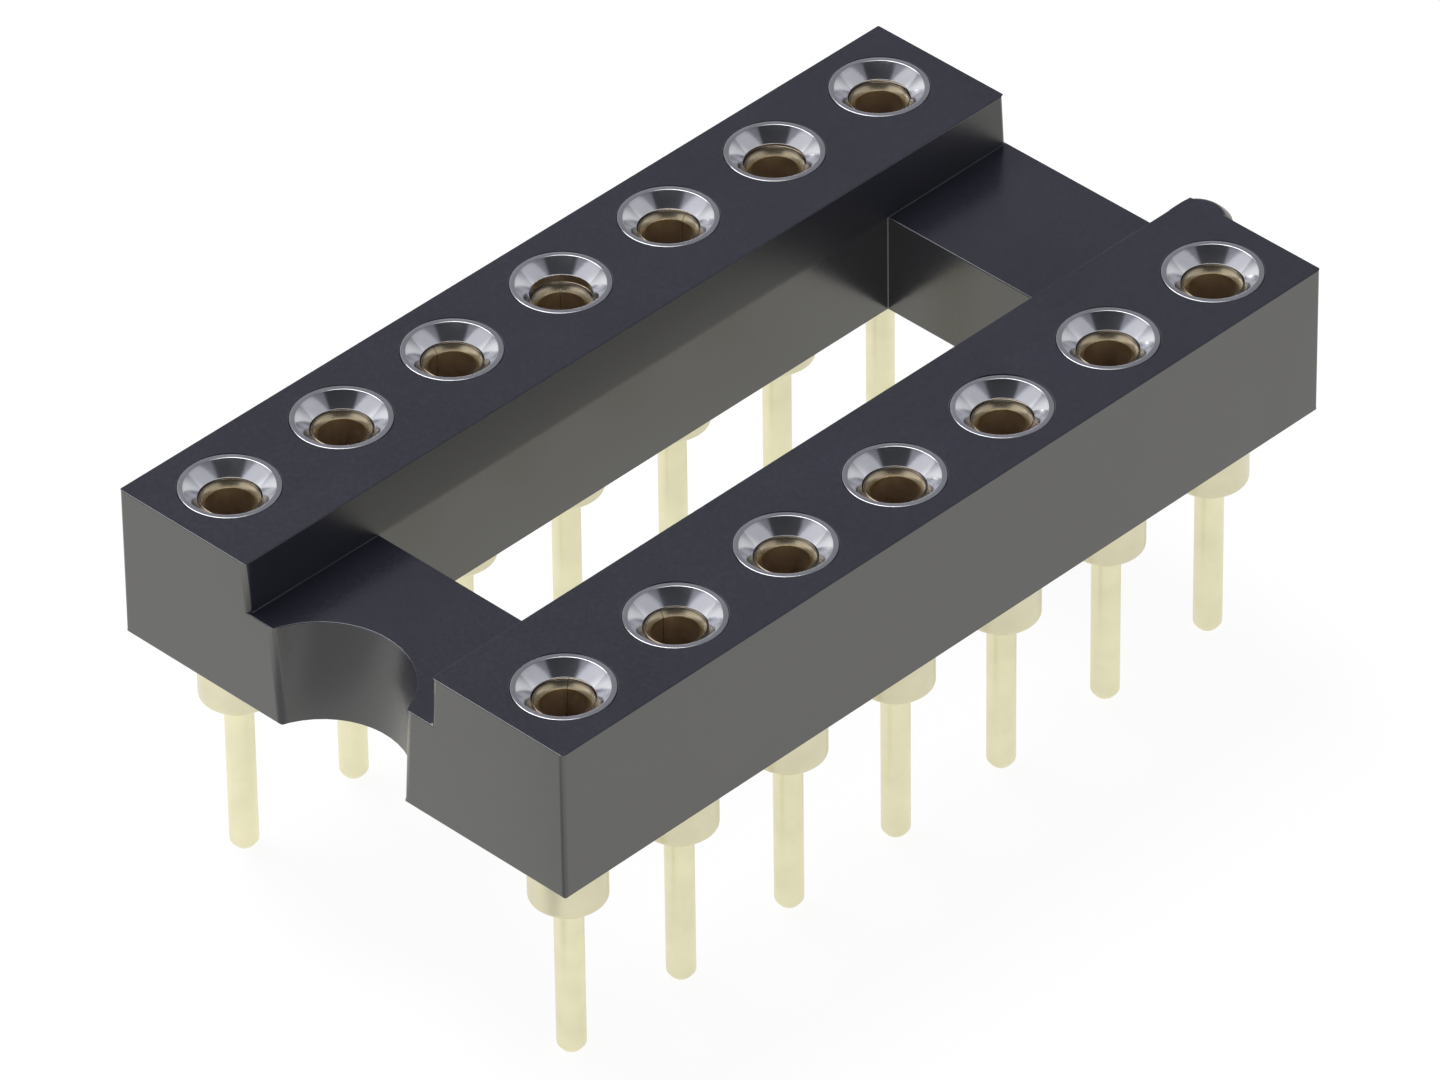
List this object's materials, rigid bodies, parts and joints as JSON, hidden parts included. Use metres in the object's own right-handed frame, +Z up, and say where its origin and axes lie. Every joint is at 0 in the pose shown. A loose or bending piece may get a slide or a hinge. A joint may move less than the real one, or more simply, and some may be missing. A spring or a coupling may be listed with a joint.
{
  "type": "integrated circuit socket",
  "caption": "Open-frame dual-in-line socket: a black moulded frame with turned contact sleeves, sprung inner clips and solder tails for a circuit board.",
  "frame": {"origin": "middle of the pattern of solder tails, on the board's top face, where the collars of the sleeves stand", "axes": "+X along the two rows, away from the key notch; +Y across the rows, away from contacts 1 to 7; +Z up, out of the board"},
  "size_m": [0.0181, 0.0102, 0.0075],
  "materials": {
    "insulator": "black glass-filled polyester moulding with a soft gloss",
    "sleeve": "turned brass with a bright tin plating",
    "clip": "rolled beryllium copper with a thin gold plating"
  },
  "bodies": {
    "root": {"insulator": "insulator", "contact_sleeve_01": "sleeve", "contact_sleeve_02": "sleeve", "contact_sleeve_03": "sleeve", "contact_sleeve_04": "sleeve", "contact_sleeve_05": "sleeve", "contact_sleeve_06": "sleeve", "contact_sleeve_07": "sleeve", "contact_sleeve_08": "sleeve", "contact_sleeve_09": "sleeve", "contact_sleeve_10": "sleeve", "contact_sleeve_11": "sleeve", "contact_sleeve_12": "sleeve", "contact_sleeve_13": "sleeve", "contact_sleeve_14": "sleeve", "contact_clip_01": "clip", "contact_clip_02": "clip", "contact_clip_03": "clip", "contact_clip_04": "clip", "contact_clip_05": "clip", "contact_clip_06": "clip", "contact_clip_07": "clip", "contact_clip_08": "clip", "contact_clip_09": "clip", "contact_clip_10": "clip", "contact_clip_11": "clip", "contact_clip_12": "clip", "contact_clip_13": "clip", "contact_clip_14": "clip"}
  },
  "joints": []
}
